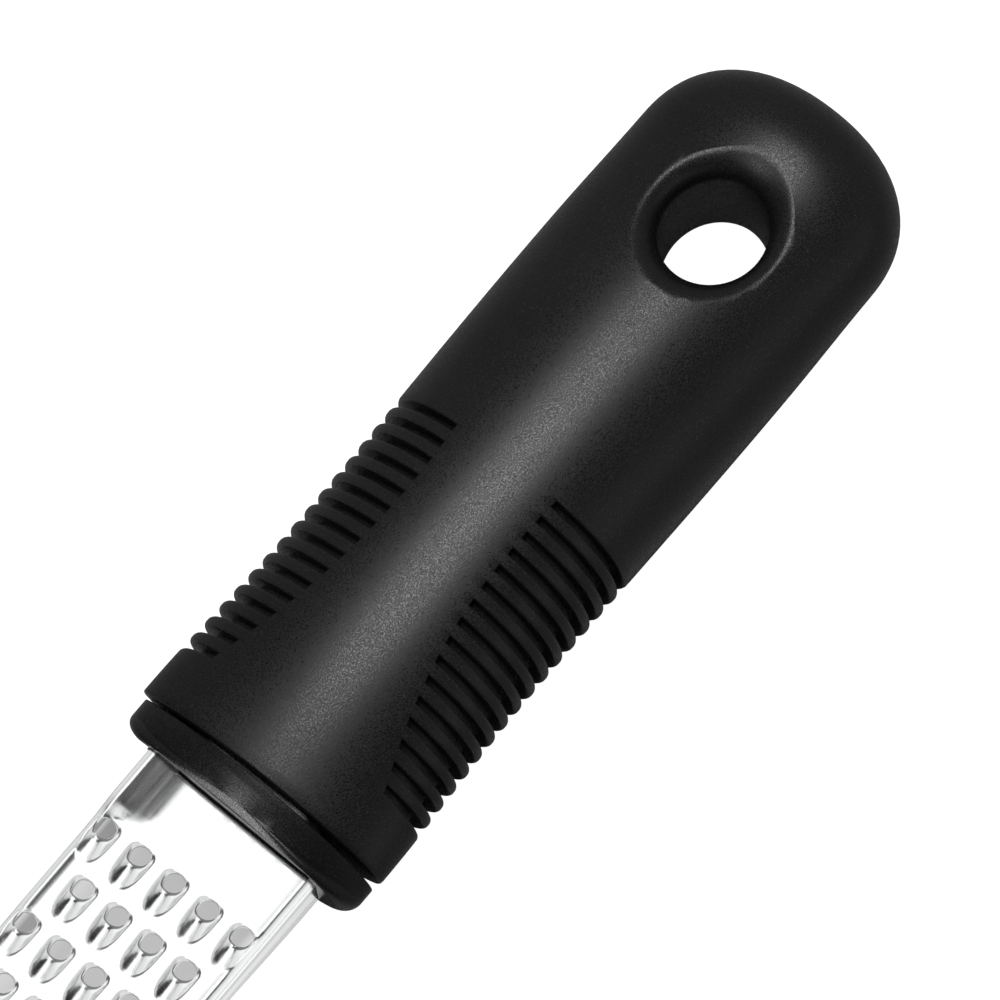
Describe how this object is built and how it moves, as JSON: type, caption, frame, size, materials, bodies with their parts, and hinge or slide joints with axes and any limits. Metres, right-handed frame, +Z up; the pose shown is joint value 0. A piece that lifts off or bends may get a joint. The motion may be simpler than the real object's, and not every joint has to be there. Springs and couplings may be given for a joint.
{
  "type": "hand grater",
  "caption": "Narrow rasp grater: a steel channel blade with rows of scooped teeth, a black collar and a soft oval grip with ribbed sides and a hanging hole.",
  "frame": {"origin": "centre of the tool's outline seen from above, at the height of the grip's belly that it rests on", "axes": "+X runs along the tool from the free end of the blade to the butt of the grip, +Y across it, +Z up, the side that the teeth stand on"},
  "size_m": [0.3086, 0.036, 0.0282],
  "materials": {
    "polished_steel": "polished sheet",
    "soft_black": "finely grained soft moulding",
    "collar_black": "satin moulding",
    "core_grey": "plain moulding"
  },
  "bodies": {
    "root": {"toothed_blade": "polished_steel", "tip_foot": "soft_black", "front_collar": "collar_black", "core_upper_half": "core_grey", "core_lower_half": "core_grey", "tang_pin_front": "polished_steel", "tang_pin_rear": "polished_steel", "soft_grip": "soft_black"}
  },
  "joints": []
}
